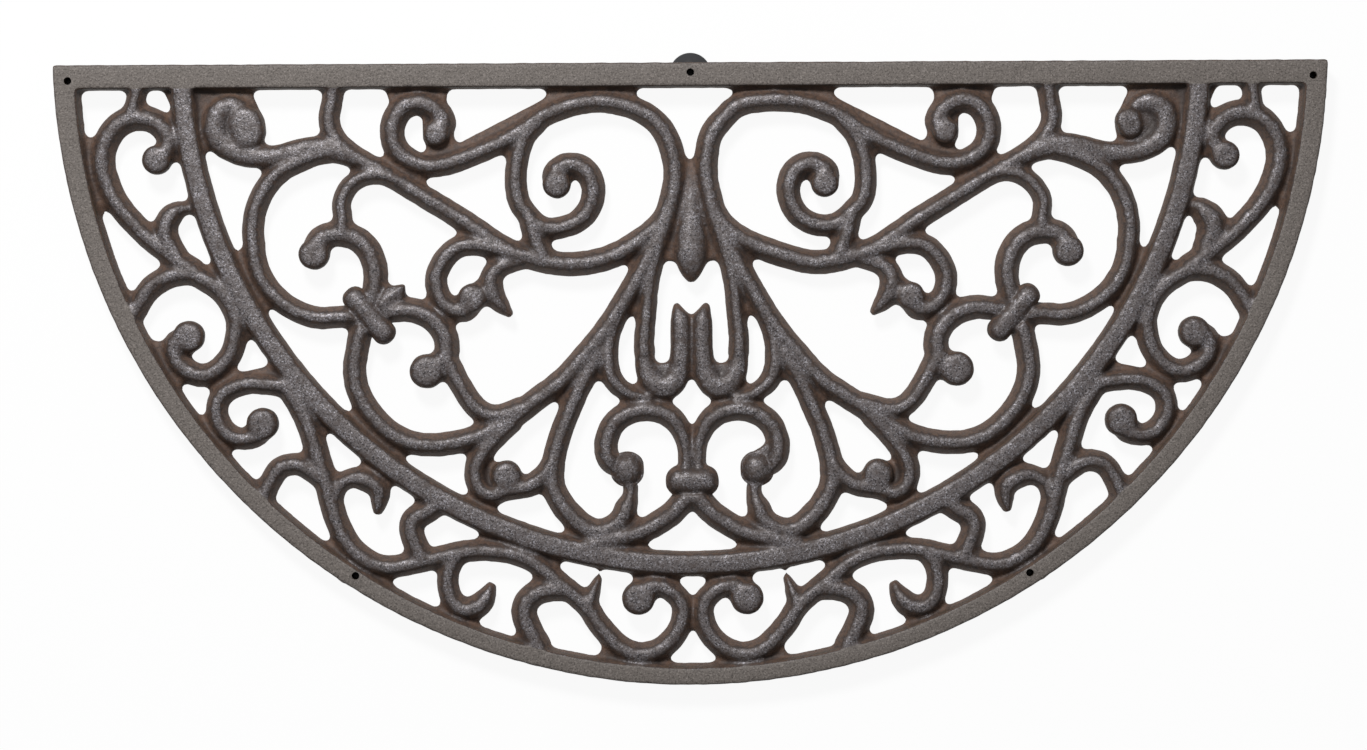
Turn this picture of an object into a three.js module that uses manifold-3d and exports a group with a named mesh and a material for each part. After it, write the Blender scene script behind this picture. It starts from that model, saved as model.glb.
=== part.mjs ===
// Half-round cast iron door mat, in millimetres, +Z up.
// One open scrollwork casting lies on five rubber feet, each pushed into a hole in its frame.
// The origin is on the floor under the middle of the mat. +Y points to the straight edge, which
// lies along the door, and the round rim faces -Y.

import * as THREE from "three";
import { mergeVertices } from "three/addons/utils/BufferGeometryUtils.js";
import Module from "manifold-3d";

const wasm = await Module();
wasm.setup();

// Mat
const matWidth = 750;
const matDepth = 366.3;
const castingThickness = 11;
const edgeChamfer = 1;
const cornerRadius = 3;

// Frame band
const bandStraightWidth = 14;
const bandSideWidth = 12.5;
const bandFrontWidth = 10;
const bandDraft = 3;

// Scroll bars
const barWidth = 13.2;
const heavyBarWidth = 14;
const archRibWidth = 15;
const slimBarWidth = 11.5;
const crownWidth = 6.5;
const crownShare = 0.6;
const bossRise = 0.6;
const bossProfile = [[1, 0], [0.96, 0.6], [0.62, 0.92], [0, 1]];
const collarRise = 1.6;
const webThickness = 4.5;

// Feet and their holes
const footHoleDiameter = 4.5;
const backPadDiameter = 24.5;
const footPadDiameter = 17.5;
const footPadThickness = 7.5;
const footPadChamfer = 1.2;
const footStemRecess = 2.5;
const fitGap = 0.3;
const backHoleInset = 6;
const cornerHoleInset = 9;
const cornerHoleSetback = 9.5;
const rimHoleInset = 7.3;
const rimHoleAngle = THREE.MathUtils.degToRad(32.6);

// The scrollwork is drawn on half a mat of this size: x runs out from the mat's axis, y runs in
// from the straight edge. A mat of another size stretches the drawing to its own rim.
const drawnWidth = 750;
const drawnDepth = 366.3;

// Steps of the faceted shapes
const rimSteps = 38;
const turnPerStep = THREE.MathUtils.degToRad(33);
const longestStep = 30;
const sampleLength = 1;
const turnShare = 0.9;
const lapLength = 2;
const bossSides = 9;
const footSides = 16;
const weldTolerance = 1e-5;
const joinTolerance = 0.05;

// Sizes that follow from these
const halfWidth = matWidth / 2;
const rimSetback = (halfWidth ** 2 - matDepth ** 2) / (2 * matDepth);
const rimRadius = matDepth + rimSetback;
const backOverhang = Math.max(0, backPadDiameter / 2 - backHoleInset);
const straightEdgeY = (matDepth - backOverhang) / 2;
const castingFloor = footPadThickness + fitGap;
const castingTop = castingFloor + castingThickness;

// A place on the mat, x out from the axis and y in from the straight edge.
function onMat(x, y, side = 1) {
  return new THREE.Vector2(side * x, straightEdgeY - y);
}

// The same for a point of the drawing, stretched to this mat.
function fromDrawing([x, y], side) {
  return onMat((x * matWidth) / drawnWidth, (y * matDepth) / drawnDepth, side);
}

// Solids for joining and cutting

function solidOf(geometry) {
  const bare = geometry.clone();
  bare.deleteAttribute("normal");
  bare.deleteAttribute("uv");
  const merged = mergeVertices(bare, weldTolerance);
  const index = merged.index.array;
  const triangles = [];
  for (let i = 0; i < index.length; i += 3) {
    const [a, b, c] = [index[i], index[i + 1], index[i + 2]];
    if (a !== b && b !== c && c !== a) {
      triangles.push(a, b, c);
    }
  }
  return new wasm.Manifold(new wasm.Mesh({
    numProp: 3,
    tolerance: joinTolerance,
    vertProperties: new Float32Array(merged.attributes.position.array),
    triVerts: new Uint32Array(triangles),
  }));
}

function joined(solids) {
  return solids.reduce((whole, next) => whole.add(next));
}

function geometryOf(solid) {
  const mesh = solid.getMesh();
  const geometry = new THREE.BufferGeometry();
  geometry.setAttribute("position", new THREE.BufferAttribute(new Float32Array(mesh.vertProperties), 3));
  geometry.setIndex(new THREE.BufferAttribute(new Uint32Array(mesh.triVerts), 1));
  return geometry.toNonIndexed();
}

function geometryFrom(corners, triangles) {
  const geometry = new THREE.BufferGeometry();
  geometry.setAttribute("position", new THREE.Float32BufferAttribute(corners, 3));
  geometry.setIndex(triangles);
  return geometry;
}

// Shapes

// Turns a profile of [radius, height] points about a vertical axis at the given place.
function turned(profile, sides, centre = new THREE.Vector2()) {
  const points = profile.map(([radius, height]) => new THREE.Vector2(radius, height));
  const geometry = new THREE.LatheGeometry(points, sides);
  geometry.rotateX(Math.PI / 2);
  geometry.translate(centre.x, centre.y, 0);
  return geometry;
}

// Joins outlines of equal point count into one closed body, lowest outline first.
function lofted(levels) {
  const count = levels[0].outline.length;
  const corners = [];
  const triangles = [];
  const clockwise = THREE.ShapeUtils.isClockWise(levels[0].outline);
  for (const { outline, height } of levels) {
    const ordered = clockwise ? [...outline].reverse() : outline;
    for (const point of ordered) {
      corners.push(point.x, point.y, height);
    }
  }
  for (let level = 0; level + 1 < levels.length; level += 1) {
    for (let i = 0; i < count; i += 1) {
      const next = (i + 1) % count;
      const [a, b] = [level * count + i, level * count + next];
      triangles.push(a, b, a + count, b, b + count, a + count);
    }
  }
  for (const level of [0, levels.length - 1]) {
    const { outline } = levels[level];
    const ordered = clockwise ? [...outline].reverse() : outline;
    const start = level * count;
    for (const [a, b, c] of THREE.ShapeUtils.triangulateShape(ordered, [])) {
      triangles.push(start + a, ...(level === 0 ? [start + c, start + b] : [start + b, start + c]));
    }
  }
  return geometryFrom(corners, triangles);
}

// The bar's section: a flat back, walls that lean in, and a crown. Narrow tips keep a thin crown,
// and on the inside of a tight turn the wall stays short of the turn's middle.
function barSection({ width, room }, top) {
  const crown = Math.min(crownWidth, crownShare * width) / 2;
  const [left, right] = room.map((limit) => Math.min(width / 2, limit));
  return [
    [-left, castingFloor],
    [right, castingFloor],
    [Math.min(right, crown), top],
    [-Math.min(left, crown), top],
  ];
}

// Keeps the walls of two neighbouring sections apart on the inside of their turn.
function leaveRoom(here, next) {
  const bend = here.along.x * next.along.y - here.along.y * next.along.x;
  const radius = here.at.distanceTo(next.at) / (2 * Math.sin(here.along.angleTo(next.along) / 2));
  const inside = bend > 0 ? 0 : 1;
  for (const { room } of [here, next]) {
    room[inside] = Math.min(room[inside], turnShare * radius);
  }
}

// Places, directions and widths along a smooth curve, closer together where it turns.
function stationsAlong(points, widths) {
  const knots = points.map(({ x, y }) => new THREE.Vector3(x, y, 0));
  const path = new THREE.CatmullRomCurve3(knots, false, "centripetal");
  const samples = Math.ceil(path.getLength() / sampleLength);
  path.arcLengthDivisions = 4 * samples;
  path.updateArcLengths();
  const stations = [];
  let heading = path.getTangentAt(0);
  let turn = turnPerStep;
  for (let i = 0; i <= samples; i += 1) {
    const share = i / samples;
    const run = share * path.getLength();
    const along = path.getTangentAt(share);
    turn += heading.angleTo(along);
    heading = along;
    if (turn >= turnPerStep || run - stations.at(-1).run >= longestStep || i === samples) {
      const place = path.getUtoTmapping(share) * (widths.length - 1);
      const before = Math.min(Math.floor(place), widths.length - 2);
      const width = THREE.MathUtils.lerp(widths[before], widths[before + 1], place - before);
      stations.push({ at: path.getPointAt(share), along, width, run, room: [Infinity, Infinity] });
      turn = 0;
    }
  }
  for (let i = 0; i + 1 < stations.length; i += 1) {
    leaveRoom(stations[i], stations[i + 1]);
  }
  return stations;
}

// One length of bar through its stations.
function barLength(stations, top) {
  const sections = stations.map((station) => barSection(station, top));
  const sides = sections[0].length;
  const corners = [];
  const triangles = [];
  for (const [i, { at, along }] of stations.entries()) {
    for (const [across, height] of sections[i]) {
      corners.push(at.x + across * along.y, at.y - across * along.x, height);
    }
  }
  for (let step = 0; step + 1 < stations.length; step += 1) {
    for (let i = 0; i < sides; i += 1) {
      const [a, b] = [step * sides + i, step * sides + ((i + 1) % sides)];
      triangles.push(a, a + sides, b, b, a + sides, b + sides);
    }
  }
  const last = (stations.length - 1) * sides;
  for (let i = 1; i + 1 < sides; i += 1) {
    triangles.push(0, i, i + 1, last, last + i + 1, last + i);
  }
  return geometryFrom(corners, triangles);
}

// True where a bar at this station comes back beside an earlier part of itself.
function meetsItself(stations, station) {
  return stations.some((earlier) => {
    const reach = (earlier.width + station.width) / 2;
    return station.run - earlier.run > 2 * reach && station.at.distanceTo(earlier.at) < reach + fitGap;
  });
}

// A whole bar. A scroll that comes back beside itself is cut into lengths that lap a little, so
// that no body winds over itself.
function bar(points, widths, top = castingTop) {
  const list = Array.isArray(widths) ? widths : [widths, widths];
  const lengths = [[]];
  for (const station of stationsAlong(points, list)) {
    const current = lengths.at(-1);
    if (meetsItself(current, station)) {
      const last = current.at(-1);
      const lapped = last.at.clone().addScaledVector(last.along, -lapLength);
      lengths.push([{ ...last, at: lapped }, station]);
    } else {
      current.push(station);
    }
  }
  return joined(lengths.map((stations) => solidOf(barLength(stations, top))));
}

// A domed boss, as at the eye of a scroll. Its profile is in shares of its radius and its rise.
function boss(centre, radius, top = castingTop + bossRise) {
  const rise = top - castingFloor;
  const profile = bossProfile.map(([out, up]) => [out * radius, castingFloor + up * rise]);
  return solidOf(turned([[0, castingFloor], ...profile], bossSides, centre));
}

// A low web of iron between bars.
function web(points) {
  const top = castingFloor + webThickness;
  return solidOf(lofted([{ outline: points, height: castingFloor }, { outline: points, height: top }]));
}

// Frame band

function rimArc(radius, centreSetback, fromY, steps) {
  const reach = Math.sqrt(radius ** 2 - (fromY + centreSetback) ** 2);
  const start = Math.atan2(fromY + centreSetback, reach);
  const points = [];
  for (let i = 0; i <= steps; i += 1) {
    const angle = start + ((Math.PI - 2 * start) * i) / steps;
    points.push(onMat(radius * Math.cos(angle), radius * Math.sin(angle) - centreSetback));
  }
  return points;
}

function openingOutline(shrink) {
  const side = halfWidth - bandSideWidth - shrink;
  const front = matDepth - bandFrontWidth - shrink;
  const setback = (side ** 2 - front ** 2) / (2 * front);
  return rimArc(front + setback, setback, bandStraightWidth + shrink, rimSteps);
}

function frameBand() {
  const outline = new THREE.Shape(rimArc(rimRadius, rimSetback, cornerRadius, rimSteps));
  const corner = onMat(halfWidth - cornerRadius, 0);
  outline.lineTo(-corner.x, corner.y);
  outline.lineTo(corner.x, corner.y);
  const plate = new THREE.ExtrudeGeometry(outline, {
    depth: castingThickness - 2 * edgeChamfer,
    bevelThickness: edgeChamfer,
    bevelSize: edgeChamfer,
    bevelOffset: -edgeChamfer,
    bevelSegments: 1,
  });
  plate.translate(0, 0, castingFloor + edgeChamfer);
  const opening = lofted([
    { outline: openingOutline(bandDraft), height: castingFloor },
    { outline: openingOutline(0), height: castingTop },
  ]);
  const past = castingThickness;
  const lower = lofted([
    { outline: openingOutline(bandDraft), height: castingFloor - past },
    { outline: openingOutline(bandDraft), height: castingFloor },
  ]);
  const upper = lofted([
    { outline: openingOutline(0), height: castingTop },
    { outline: openingOutline(0), height: castingTop + past },
  ]);
  return solidOf(plate).subtract(joined([lower, opening, upper].map(solidOf)));
}

// Arch rib, the half ring that parts the border from the field

const archReach = 299.6;
const archDepth = 295.2;

function archRib() {
  const setback = (archReach ** 2 - archDepth ** 2) / (2 * archDepth);
  const radius = archDepth + setback;
  const start = Math.asin((bandStraightWidth / 2 + setback) / radius);
  const points = [];
  for (let i = 0; i <= rimSteps; i += 1) {
    const angle = start + ((Math.PI - 2 * start) * i) / rimSteps;
    points.push(fromDrawing([radius * Math.cos(angle), radius * Math.sin(angle) - setback], 1));
  }
  return bar(points, archRibWidth);
}

// Scrolls of half the mat, as the middle line of each bar. An eye is the boss that ends a scroll,
// at the last point. One width serves the whole bar; a list swells or tapers it.
const scrolls = [
  {
    // from the band round the upper ring to the small volute under the band
    width: [12.5, 13.2, 14.6, 14.4, 13.6, 13.4, 15, 15],
    eye: 7.6,
    through: [
      [209, 8], [211.5, 22], [213, 34], [210, 42.5], [203.8, 49.5], [194, 56.5], [182.3, 63], [157.6, 77.8],
      [132.8, 93.2], [108, 109.5], [95, 114.3], [82.5, 117.3], [70, 118.2], [57.5, 116.8], [45, 113],
      [32.5, 106], [22.5, 98.8], [15, 90], [11, 78], [9, 65], [10.6, 54], [13.8, 44], [20, 35], [30, 28],
      [42.5, 23.8], [55, 22.3], [67.5, 23.8], [78.8, 27.5], [88.8, 32], [97, 38], [107.5, 44], [120, 50],
      [132.5, 55], [145, 59], [157.5, 59.6], [167, 55.8], [173.2, 50], [175.8, 42.3], [175.2, 34.4],
      [170.8, 27], [163.8, 23], [155, 23.8], [148, 29.3], [145.8, 36], [149.8, 41],
    ],
  },
  {
    // spiral inside the upper ring
    width: [13.2, 13.2, 13.2, 14.6, 14.6],
    eye: 8.3,
    through: [
      [90, 34], [97, 42], [101.2, 52.5], [103, 63], [103, 72.4], [101.3, 81.4], [97, 88], [92, 93.8],
      [85, 97], [75, 96.2], [66.6, 92.8], [60.4, 86], [57.6, 77.5], [58.4, 69.2], [62.8, 62.4],
      [70, 59.6], [76.5, 61.3], [80.5, 66], [79, 71.3],
    ],
  },
  {
    // link from the spiral to the ring
    width: heavyBarWidth,
    through: [[95.5, 89.3], [91, 105], [87, 114]],
  },
  {
    // rosette at the foot of the arch rib
    width: [16, 14.5, 13.2, 13.2, 13.2],
    eye: 10.5,
    through: [
      [205, 51], [217.5, 49], [230, 50.6], [242.5, 53.5], [255, 54.3], [262, 53.5], [269.5, 50.5],
      [276.5, 46], [281, 39], [281, 32], [276.5, 25], [270, 22], [261, 22.5], [254.5, 28], [261.5, 38.5],
    ],
  },
  {
    // large C at the side of the field
    width: barWidth,
    through: [
      [220, 53], [231, 56.5], [241, 62], [249.5, 71], [255.5, 82], [258, 93], [257.8, 106.3], [255.8, 119],
      [250.6, 129.6], [244, 137.4], [237.2, 142.6], [229.4, 146.6], [220, 149.2], [210, 148.8], [196, 148],
    ],
  },
  {
    // link that drops from the volute
    width: slimBarWidth,
    through: [[176, 62], [188, 64.5], [197.5, 68.5], [203.6, 75], [206, 82], [205.4, 90], [205, 101]],
  },
  {
    // curl inside the large C
    width: [13.2, 15, 15, 15.2, 16],
    eye: 9.2,
    through: [
      [192, 146], [187.5, 134.5], [186, 124], [187.4, 115.8], [190.8, 108.7], [196.8, 103], [204.5, 100.3],
      [212, 100.3], [218.8, 103.3], [222, 111.8],
    ],
  },
  {
    // curl below the side collar
    width: [13.2, 15, 15, 15],
    eye: 10.2,
    through: [
      [188, 147], [176, 145.4], [168, 144.6], [160, 146.4], [152.3, 150.6], [146.6, 157.3], [144.2, 165],
      [146, 173.5], [156, 181],
    ],
  },
  {
    // long diagonal from the side collar to the bud
    width: heavyBarWidth,
    through: [
      [190, 150], [194.8, 158], [197.2, 168], [198.8, 182], [196, 194], [190, 204.5], [182, 213.6],
      [173, 220], [163, 223.6], [152.5, 224.4], [141.6, 223.4], [130.3, 220.8], [120, 216.8], [110, 211.4],
      [89.6, 196.4], [76.3, 186.5], [63.8, 173], [54, 161.5], [46.3, 151], [40, 141], [28.5, 121],
      [23.3, 110.5], [17.5, 100], [13, 88], [10.6, 76],
    ],
  },
  {
    // hook that leaves the curl for the long diagonal
    width: barWidth,
    through: [
      [146, 170], [140.6, 181], [135.4, 191], [129.4, 200], [124, 205], [116, 207.3], [107.6, 205.6],
      [99.6, 202.2],
    ],
  },
  {
    // upper hook over the pointed leaf
    width: barWidth,
    eye: 8.5,
    through: [
      [98, 114], [110, 110], [117.5, 108.2], [130, 106.6], [138, 108.2], [144, 113], [148, 119],
      [150.3, 125.3], [150, 132], [147.5, 138.5], [143.5, 143], [138.5, 145.5], [132.5, 145], [129, 138],
    ],
  },
  {
    // small cap on that hook's eye
    width: [10, 8, 3],
    through: [[128.5, 138], [127, 132.5], [125.5, 128]],
  },
  {
    // pointed leaf
    width: [10, 12, 13, 14, 15, 13, 10, 4],
    through: [
      [98, 116], [108, 118], [114, 120.5], [117.5, 125.5], [118, 132], [115.5, 138], [111.5, 143],
      [106, 148.5],
    ],
  },
  {
    // lower loop of the heart
    width: [13.2, 13.2, 13.2, 14, 15, 14.5, 14],
    eye: 11.5,
    through: [
      [54, 168], [60, 180], [65.5, 190], [70.5, 201], [75.5, 213], [79.5, 225], [82, 238], [81.8, 249.5],
      [77.6, 258.6], [71.6, 266.2], [64, 273], [56.7, 275.6], [48, 273.6], [42, 269], [39, 262],
      [38.2, 254], [40, 239.8],
    ],
  },
  {
    // top of the heart
    width: heavyBarWidth,
    through: [
      [3, 244], [2.6, 232], [3.2, 224], [6.5, 215.5], [11.8, 209.4], [20, 205], [30, 204.3], [39, 207],
      [45.6, 211.8], [49.4, 218.8], [50.8, 226.5], [49, 233.6], [41, 240],
    ],
  },
  {
    // leg from the centre collar to the arch rib
    width: 14.6,
    through: [
      [0, 248], [2, 255], [6, 259], [11, 264.5], [19, 270.3], [29, 275.6], [40, 279], [51, 281], [64, 285],
    ],
  },
  {
    // double curl between the long diagonal and the heart
    width: barWidth,
    eye: 8.9,
    through: [
      [105, 210], [114.5, 219], [120.3, 225], [124.7, 231.5], [127.6, 238], [127.3, 246], [123.3, 252],
      [116.5, 253.6], [111.6, 250.6], [109.3, 242.6],
    ],
  },
  {
    // its link to the heart
    width: barWidth,
    through: [[113, 251.6], [103, 250.2], [97, 249.2], [91, 245.8], [86, 241], [82, 235]],
  },
  {
    // tulip stem
    width: [13.2, 12.6, 11.6, 11.4, 12, 13.4],
    through: [
      [14, 90], [19.5, 108], [23.3, 122], [25.2, 134], [26, 144], [27, 153], [27.9, 162.5], [28, 172.5],
      [26.6, 182], [22.6, 189.5], [15.6, 195],
    ],
  },
  {
    // tulip petal
    width: [3, 7.5, 12, 12.6, 13, 15, 16, 14],
    through: [
      [9.3, 141.5], [8, 146], [6.6, 150.5], [6.3, 158], [6.3, 168], [7, 180], [9, 190], [11, 197],
    ],
  },
  {
    // tulip sepal
    width: [13, 11.6, 10.6, 11.4, 13.4, 15, 15, 15],
    through: [
      [33, 138], [42, 150], [46.6, 160], [48.9, 170], [48.8, 179], [45.8, 187.4], [39, 193.8], [30, 197.6],
      [18, 198],
    ],
  },
  {
    // border curl at the corner
    width: [15, 13.6, 14, 15.2, 15.2, 15.4, 15, 14],
    eye: 8.6,
    through: [
      [292.4, 122], [301.8, 115.6], [309.4, 109.8], [317.2, 104], [325.6, 95.8], [333.6, 87.2], [340.3, 77.2],
      [344.6, 67.2], [346.6, 59], [346.3, 51], [344, 44], [339.6, 37.2], [334, 33], [326, 30.8],
      [317.5, 32.3], [310.4, 37.6], [307.2, 44], [308.9, 50.6], [314.4, 56],
    ],
  },
  {
    // its stem to the band
    width: slimBarWidth,
    through: [[331, 30], [328.8, 18], [327.2, 7]],
  },
  {
    // hook from the arch rib to the corner curl
    width: 14.4,
    through: [
      [290, 85], [299.5, 84.6], [305.2, 87.4], [308.8, 92.2], [309.8, 98.5], [307.4, 105], [302.6, 112.6],
    ],
  },
  {
    // second border curl
    width: [13.2, 14.4, 14.6, 13.6, 13.4, 14.4, 14],
    eye: 9.4,
    through: [
      [329, 147], [325, 140], [320, 132.5], [314, 127.6], [307, 124.2], [300, 122.8], [292.3, 123.4],
      [285.5, 127], [279.5, 131], [274, 137], [270, 144.5], [268, 152.5], [268.8, 161], [271, 169],
      [275, 175], [280, 180], [287.3, 182.8], [294.6, 181.4], [300.2, 177.4], [304.4, 171.2], [304.4, 164],
      [296, 160],
    ],
  },
  {
    // third border curl
    width: barWidth,
    eye: 9.6,
    through: [
      [234, 190], [242.5, 189], [252.5, 187.8], [262.5, 187.8], [271, 190.5], [277.5, 195.3], [280, 202.5],
      [279, 209.5], [275, 215.6], [269.3, 219.6], [262, 220.2], [255.4, 217.6], [252.8, 211.6],
    ],
  },
  {
    // running stem down the border to the front scroll
    width: [14.5, 14.5, 14, 13.2, 13.2, 13.2, 14, 13.2, 13.2],
    eye: 9.8,
    through: [
      [240, 187], [232, 200], [227, 210], [223.3, 221], [219, 236], [216, 245], [211.6, 263],
      [208.4, 272], [204.3, 280.3], [198.5, 287.3], [190.5, 293], [180, 296.2], [170, 295.2], [160, 293.2],
      [149, 290.6], [138, 288], [126.7, 286.8], [115.4, 287.3], [103.6, 289.5], [93.4, 294],
      [85, 300.6], [76.7, 307.6], [67.8, 315], [61, 321.7], [56.5, 329], [50.4, 336.6], [43.1, 343.8],
      [34.4, 347.8], [24.4, 347.4], [15, 342.2], [8.8, 334.5], [6, 326], [6.8, 318], [11.8, 312],
      [20, 308], [28.5, 309.4], [32, 315.4],
    ],
  },
  {
    // hook from the running stem to the rim
    width: barWidth,
    through: [
      [218.4, 244], [224.4, 239.6], [230, 236.2], [236.9, 235.6], [243.4, 238], [247.4, 243.4], [253, 255],
    ],
  },
  {
    // drop that hangs from the arch rib
    width: [11, 11, 12, 14.5, 14.5, 13.5, 10.5, 5],
    through: [
      [212, 259], [207.3, 247.5], [201, 244], [194.4, 244], [188.6, 246.6], [184.6, 251], [184.6, 258],
      [186, 265.5],
    ],
  },
  {
    // hook from the arch rib to the running stem
    width: 14.4,
    through: [
      [150, 259], [157.6, 264.4], [163.4, 267.4], [165.8, 271.4], [165.4, 277], [162.4, 285], [158, 294],
    ],
  },
  {
    // curled hook under the running stem
    width: [14, 13.4, 13, 13, 13.4, 14, 15, 13, 5],
    through: [
      [137, 287], [142.5, 295], [144.3, 302], [143.6, 311], [140.4, 317.8], [134, 321.4],
      [127.3, 319.8], [122.4, 315], [118, 306],
    ],
  },
  {
    // plain hook from the running stem to the rim
    width: 15,
    through: [[76, 309.5], [88, 310.6], [94, 313.2], [98.2, 317.6], [99.6, 323.6], [97.8, 330], [90, 345]],
  },
  {
    // spur on the front scroll
    width: [12, 9.5, 4],
    through: [[63, 324], [59, 312], [55, 302.5]],
  },
];

// Low webs of half the mat, as outlines.
const webs = [
  // between the band and the tops of the upper ring and the volute
  [[36, 8], [32, 16], [36, 28], [74, 28], [80, 15], [78, 8]],
  [[145, 8], [143, 17], [146, 30], [174, 30], [179, 18], [176, 8]],
  // round the volute's eye
  [[158, 28], [158, 48], [160, 56], [142, 56], [138, 48], [143, 30]],
  // on the upper flank of the stem from the ring to the volute
  [[80, 17.5], [74, 26], [97, 40], [140, 58], [139, 48]],
  // behind the rosette, between the band and the arch rib
  [[264, 8], [257, 22], [252, 34], [258, 52], [276, 52], [290, 48], [298, 8]],
  // between the corner curl and the arch rib
  [[304, 30], [303, 56], [292, 60], [290, 8], [308, 8]],
  // between the corner curl and the rim
  [[362, 40], [346, 46], [342, 66], [340, 86], [354, 90]],
  // between the second border curl and the rim
  [[318, 162], [303, 164], [299, 184], [306, 196], [316, 186]],
  // between the third border curl and its neighbours
  [[243, 190], [246, 177], [266, 181], [284, 184], [276, 196]],
  // between the running stem and the rim
  [[214, 272], [206, 280], [188, 306], [206, 306], [220, 288]],
  // between the tulip stem and the bud
  [[0, 72], [14, 82], [20, 104], [12, 117], [0, 114]],
  // at the foot of the tulip
  [[13, 180], [21, 184], [30, 190], [14, 201], [8, 194]],
];

// Leaf of which the mat has only one, beside the left side collar.
const looseLeaf = [[187, 143], [179, 137], [171.5, 132]];

// Collars and bud

const sideCollar = { from: [197.9, 138.2], to: [181.3, 157.8], radius: 6.6 };
const centreCollar = { centre: [0, 246.5], reach: 10, radius: 7 };
const bud = {
  width: [3, 5.5, 8.5, 13, 17.4, 18.8, 14.4, 6],
  through: [[0, 60], [0, 70], [0, 82], [0, 95], [0, 105], [0, 113], [0, 121.5], [0, 129]],
};

function collar(ends, radius) {
  const top = castingTop + collarRise;
  return joined([bar(ends, 2 * radius, top), ...ends.map((end) => boss(end, radius, top))]);
}

function halfScrollwork(side) {
  const place = (point) => fromDrawing(point, side);
  const solids = [];
  for (const { width, eye, through } of scrolls) {
    const points = through.map(place);
    solids.push(bar(points, width));
    if (eye) {
      solids.push(boss(points.at(-1), eye));
    }
  }
  for (const outline of webs) {
    solids.push(web(outline.map(place)));
  }
  solids.push(collar([place(sideCollar.from), place(sideCollar.to)], sideCollar.radius));
  return joined(solids);
}

// Feet, named as seen with the straight edge at the back. The middle one is wider and shows behind
// the edge; the others stay under the band.

function rimPlace(inset, angle, side) {
  const radius = rimRadius - inset;
  return onMat(radius * Math.sin(angle), radius * Math.cos(angle) - rimSetback, side);
}

function cornerPlace(side) {
  return onMat(halfWidth - cornerHoleInset, cornerHoleSetback, side);
}

const feet = {
  foot_back: { centre: onMat(0, backHoleInset), padDiameter: backPadDiameter },
  foot_back_left: { centre: cornerPlace(-1), padDiameter: footPadDiameter },
  foot_back_right: { centre: cornerPlace(1), padDiameter: footPadDiameter },
  foot_front_left: { centre: rimPlace(rimHoleInset, rimHoleAngle, -1), padDiameter: footPadDiameter },
  foot_front_right: { centre: rimPlace(rimHoleInset, rimHoleAngle, 1), padDiameter: footPadDiameter },
};

// Casting

function castingGeometry() {
  const place = (point) => fromDrawing(point, -1);
  const { centre: [collarX, collarY], reach, radius } = centreCollar;
  const collarEnds = [[collarX - reach, collarY], [collarX + reach, collarY]].map(place);
  const iron = joined([
    frameBand(),
    archRib(),
    halfScrollwork(-1),
    halfScrollwork(1),
    bar(looseLeaf.map(place), slimBarWidth),
    bar(bud.through.map(place), bud.width),
    collar(collarEnds, radius),
  ]);
  const holes = Object.values(feet).map(({ centre }) => solidOf(turned([
    [0, castingFloor - castingThickness],
    [footHoleDiameter / 2, castingFloor - castingThickness],
    [footHoleDiameter / 2, castingTop + castingThickness],
    [0, castingTop + castingThickness],
  ], footSides, centre)));
  return geometryOf(iron.subtract(joined(holes)));
}

// A foot: a round pad under the band and a stem pushed up into its hole.
function footGeometry(padDiameter) {
  const padRadius = padDiameter / 2;
  const stemRadius = footHoleDiameter / 2 - fitGap;
  return turned([
    [0, 0],
    [padRadius - footPadChamfer, 0],
    [padRadius, footPadChamfer],
    [padRadius, footPadThickness],
    [stemRadius, footPadThickness],
    [stemRadius, castingTop - footStemRecess],
    [0, castingTop - footStemRecess],
  ], footSides);
}

const iron = new THREE.MeshStandardMaterial({ color: 0x6b6260, roughness: 0.55, metalness: 0.85 });
const rubber = new THREE.MeshStandardMaterial({ color: 0x23242a, roughness: 0.8, metalness: 0 });

const mat = new THREE.Group();

const casting = new THREE.Mesh(castingGeometry(), iron);
casting.name = "casting";
mat.add(casting);

for (const [name, { centre, padDiameter }] of Object.entries(feet)) {
  const foot = new THREE.Mesh(footGeometry(padDiameter), rubber.clone());
  foot.name = name;
  foot.position.set(centre.x, centre.y, 0);
  mat.add(foot);
}

export default mat;
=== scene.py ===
import math

import bpy
import numpy as np
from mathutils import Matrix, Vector


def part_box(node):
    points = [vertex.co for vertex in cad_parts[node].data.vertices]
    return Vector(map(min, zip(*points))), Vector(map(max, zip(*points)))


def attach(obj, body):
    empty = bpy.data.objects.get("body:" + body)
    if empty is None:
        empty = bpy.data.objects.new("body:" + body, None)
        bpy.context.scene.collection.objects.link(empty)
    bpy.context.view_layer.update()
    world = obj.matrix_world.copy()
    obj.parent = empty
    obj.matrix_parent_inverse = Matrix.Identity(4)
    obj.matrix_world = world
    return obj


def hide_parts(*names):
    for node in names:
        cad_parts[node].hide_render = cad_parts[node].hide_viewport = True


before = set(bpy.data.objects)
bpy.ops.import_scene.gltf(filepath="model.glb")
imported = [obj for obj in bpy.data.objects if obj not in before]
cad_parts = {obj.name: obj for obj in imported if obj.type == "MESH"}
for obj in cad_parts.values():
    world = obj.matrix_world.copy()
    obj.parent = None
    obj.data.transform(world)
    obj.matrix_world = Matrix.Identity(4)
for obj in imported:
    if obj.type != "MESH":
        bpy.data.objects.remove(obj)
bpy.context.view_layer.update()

bpy.ops.object.select_all(action="DESELECT")


# Camera
# A long lens straight above the mat, which lies on the floor with its straight edge to the top of
# the picture. The mat fills the picture's width, turned a quarter of a degree.

MM = 0.001
CAMERA_HEIGHT = 2350 * MM
PICTURE_WIDTH = 1367
SENSOR_WIDTH = 36
PIXELS_PER_METRE = 1702.1
CAMERA_X = -4.85 * MM
CAMERA_Y = -3.95 * MM
CAMERA_TURN = -0.0048

casting_low, casting_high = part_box("casting")
EDGE_Y = casting_high.y
FLOOR_OF_IRON = casting_low.z
THICKNESS_MM = 11
THICKNESS = THICKNESS_MM * MM
CROWN = FLOOR_OF_IRON + THICKNESS

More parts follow.
